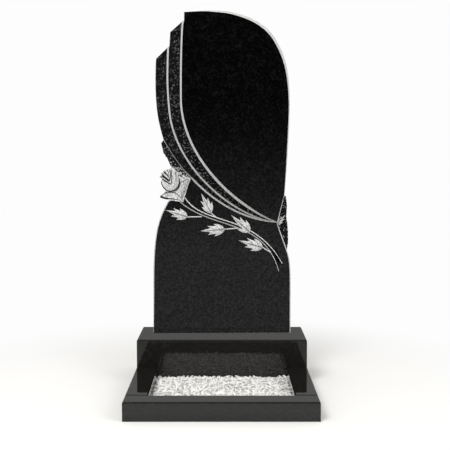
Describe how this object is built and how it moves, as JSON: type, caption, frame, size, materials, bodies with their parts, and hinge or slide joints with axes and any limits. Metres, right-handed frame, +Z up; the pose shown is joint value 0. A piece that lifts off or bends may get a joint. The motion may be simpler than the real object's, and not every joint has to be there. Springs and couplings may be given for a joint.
{
  "type": "upright granite memorial",
  "caption": "Upright carved granite memorial: a stepped, polished slab with a rose and leaves in relief, on a plinth with kerbs round a bed of marble chippings.",
  "frame": {"origin": "floor level, under the middle of the whole footprint", "axes": "+Z up, the carved front faces -Y, +X to the right as seen from the front"},
  "size_m": [0.6, 0.63, 1.3153],
  "materials": {
    "black_granite": "polished, with bush-hammered tiers, ground bevels and carved relief",
    "white_marble_chips": "crushed, loose"
  },
  "bodies": {
    "root": {"plinth": "black_granite", "upright_stone": "black_granite", "kerb_front": "black_granite", "kerb_left": "black_granite", "kerb_right": "black_granite", "chippings": "white_marble_chips"}
  },
  "joints": []
}
